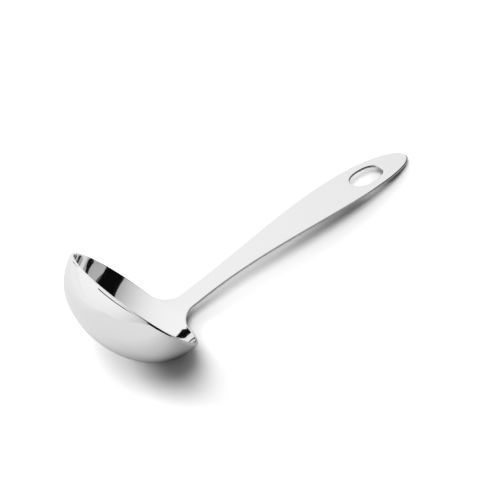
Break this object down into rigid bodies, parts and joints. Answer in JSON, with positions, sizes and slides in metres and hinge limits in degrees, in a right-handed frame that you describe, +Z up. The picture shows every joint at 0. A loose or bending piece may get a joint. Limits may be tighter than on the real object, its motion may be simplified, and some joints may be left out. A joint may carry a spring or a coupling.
{
  "type": "soup ladle",
  "caption": "Polished sheet-steel soup ladle: round deep bowl with a rounded lip, narrow welded neck and a long arched flat handle with an oval hanging slot near the tip.",
  "frame": {"origin": "on the table, below the middle of the overall length, with the ladle lying at rest as in the picture: the bowl leans back on its rounded side and the handle's tip touches the table", "axes": "+Z up, +X from the bowl toward the handle's tip, mirror plane y = 0"},
  "size_m": [0.276, 0.09, 0.0768],
  "materials": {
    "bowl_steel": "mirror polished stainless steel",
    "weld_steel": "stainless weld ground flush and polished",
    "handle_steel": "mirror polished stainless steel"
  },
  "bodies": {
    "root": {"bowl": "bowl_steel", "neck_weld": "weld_steel", "handle": "handle_steel"}
  },
  "joints": []
}
